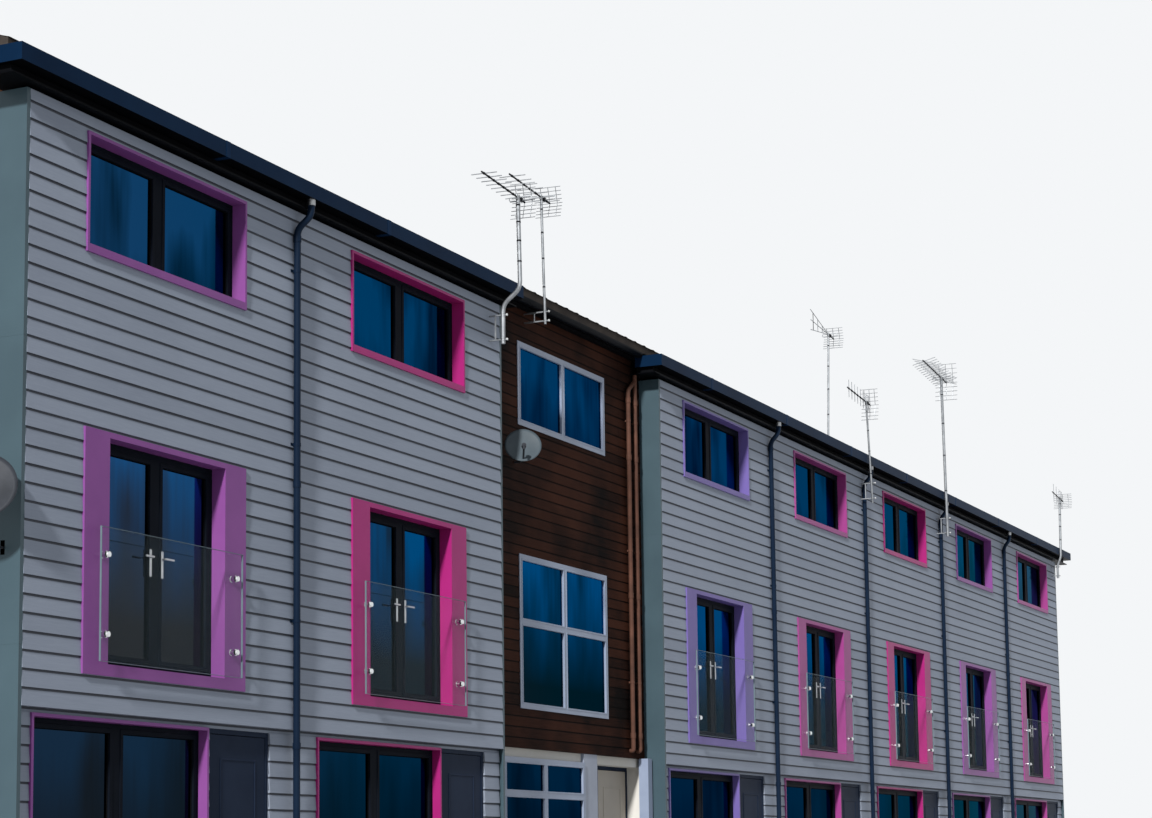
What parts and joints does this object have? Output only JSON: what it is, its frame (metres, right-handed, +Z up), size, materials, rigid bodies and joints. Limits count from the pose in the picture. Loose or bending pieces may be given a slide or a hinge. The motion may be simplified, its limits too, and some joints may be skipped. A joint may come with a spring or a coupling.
{
  "type": "terrace of three-storey houses",
  "caption": "Three-storey terrace in grey horizontal boards with coloured window surrounds, upper glass guards and one recessed brown bay.",
  "frame": {"origin": "on the ground, under the middle of the row's length and of its depth", "axes": "+X along the row to the right seen from the front, -Y out of the front, +Z up"},
  "size_m": [36.2976, 9.0778, 10.291],
  "materials": {
    "aerial_metal": "weathered",
    "polished_steel": "polished",
    "clear_glass": "clear",
    "white_boards": "paint",
    "dark_gutter": "satin",
    "brown_pipe": "satin",
    "dark_board": "paint",
    "white_frame": "gloss",
    "brown_boards": "weathered stain",
    "green_grey_trim": "satin",
    "door_paint": "satin",
    "dark_pipe": "satin",
    "eaves_metal": "satin",
    "concrete": "rough",
    "anthracite_frame": "satin",
    "porch_door_paint": "paint",
    "window_glass": "clear",
    "grey_boards": "matt paint on fibre cement",
    "brick": "rough",
    "masonry": "rough",
    "roof_tiles": "rough",
    "dish_metal": "matt",
    "hot_pink_paint": "satin",
    "lavender_paint": "satin",
    "magenta_paint": "satin",
    "orchid_paint": "satin",
    "plasterboard": "matt"
  },
  "bodies": {
    "building": {"aerial_party_5_6": "aerial_metal", "aerial_party_6_7": "aerial_metal", "aerial_right_end": "aerial_metal", "aerials": "aerial_metal", "balustrade_fixings": "polished_steel", "balustrade_glass": "clear_glass", "brown_bay_ground_panels": "white_boards", "brown_bay_gutters": "dark_gutter", "brown_bay_pipes": "brown_pipe", "brown_bay_soffits": "dark_board", "brown_bay_windows": "white_frame", "brown_cladding": "brown_boards", "corner_trims": "green_grey_trim", "door_heads": "door_paint", "door_hinges": "polished_steel", "door_jambs": "door_paint", "downpipes": "dark_pipe", "eaves_boxes": "eaves_metal", "first_floor": "concrete", "french_doors": "anthracite_frame", "glazing_first": "window_glass", "glazing_ground": "window_glass", "glazing_second": "window_glass", "grey_cladding_bands": "grey_boards", "grey_cladding_piers": "grey_boards", "ground_cladding_piers": "grey_boards", "ground_cladding_sills": "grey_boards", "ground_slab": "concrete", "left_party_wall": "brick", "masonry_bands": "masonry", "masonry_piers": "masonry", "masonry_sills": "masonry", "plinth_strips": "concrete", "porch_panel": "white_frame", "porch_post": "white_frame", "ridge_tiles": "roof_tiles", "right_end_cladding": "grey_boards", "right_end_wall": "masonry", "roof_fascias": "dark_board", "roof_front": "roof_tiles", "roof_rear": "roof_tiles", "satellite_dishes": "dish_metal", "second_floor": "concrete", "surrounds_hot_pink": "hot_pink_paint", "surrounds_lavender": "lavender_paint", "surrounds_magenta": "magenta_paint", "surrounds_orchid": "orchid_paint", "top_ceiling": "plasterboard", "window_frames_first_rear": "anthracite_frame", "window_frames_ground": "anthracite_frame", "window_frames_second": "anthracite_frame"},
    "door_1": {"front_door_1": "door_paint"},
    "door_2": {"front_door_2": "door_paint"},
    "door_3": {"front_door_3": "porch_door_paint"},
    "door_4": {"front_door_4": "door_paint"},
    "door_5": {"front_door_5": "door_paint"},
    "door_6": {"front_door_6": "door_paint"},
    "door_7": {"front_door_7": "door_paint"},
    "door_8": {"front_door_8": "door_paint"}
  },
  "joints": [
    {"name": "door_1_hinge", "type": "hinge", "parent": "building", "child": "door_1", "pos_m": [-13.7085, -4.009, 0.16], "axis": [0, 0, -1], "range_deg": [0, 90]},
    {"name": "door_2_hinge", "type": "hinge", "parent": "building", "child": "door_2", "pos_m": [-9.3085, -4.009, 0.16], "axis": [0, 0, -1], "range_deg": [0, 90]},
    {"name": "door_3_hinge", "type": "hinge", "parent": "building", "child": "door_3", "pos_m": [-4.3635, -3.569, 0.16], "axis": [0, 0, -1], "range_deg": [0, 90]},
    {"name": "door_4_hinge", "type": "hinge", "parent": "building", "child": "door_4", "pos_m": [-0.5085, -4.009, 0.16], "axis": [0, 0, -1], "range_deg": [0, 90]},
    {"name": "door_5_hinge", "type": "hinge", "parent": "building", "child": "door_5", "pos_m": [3.8915, -4.009, 0.16], "axis": [0, 0, -1], "range_deg": [0, 90]},
    {"name": "door_6_hinge", "type": "hinge", "parent": "building", "child": "door_6", "pos_m": [8.2915, -4.009, 0.16], "axis": [0, 0, -1], "range_deg": [0, 90]},
    {"name": "door_7_hinge", "type": "hinge", "parent": "building", "child": "door_7", "pos_m": [12.6915, -4.009, 0.16], "axis": [0, 0, -1], "range_deg": [0, 90]},
    {"name": "door_8_hinge", "type": "hinge", "parent": "building", "child": "door_8", "pos_m": [17.0915, -4.009, 0.16], "axis": [0, 0, -1], "range_deg": [0, 90]}
  ]
}
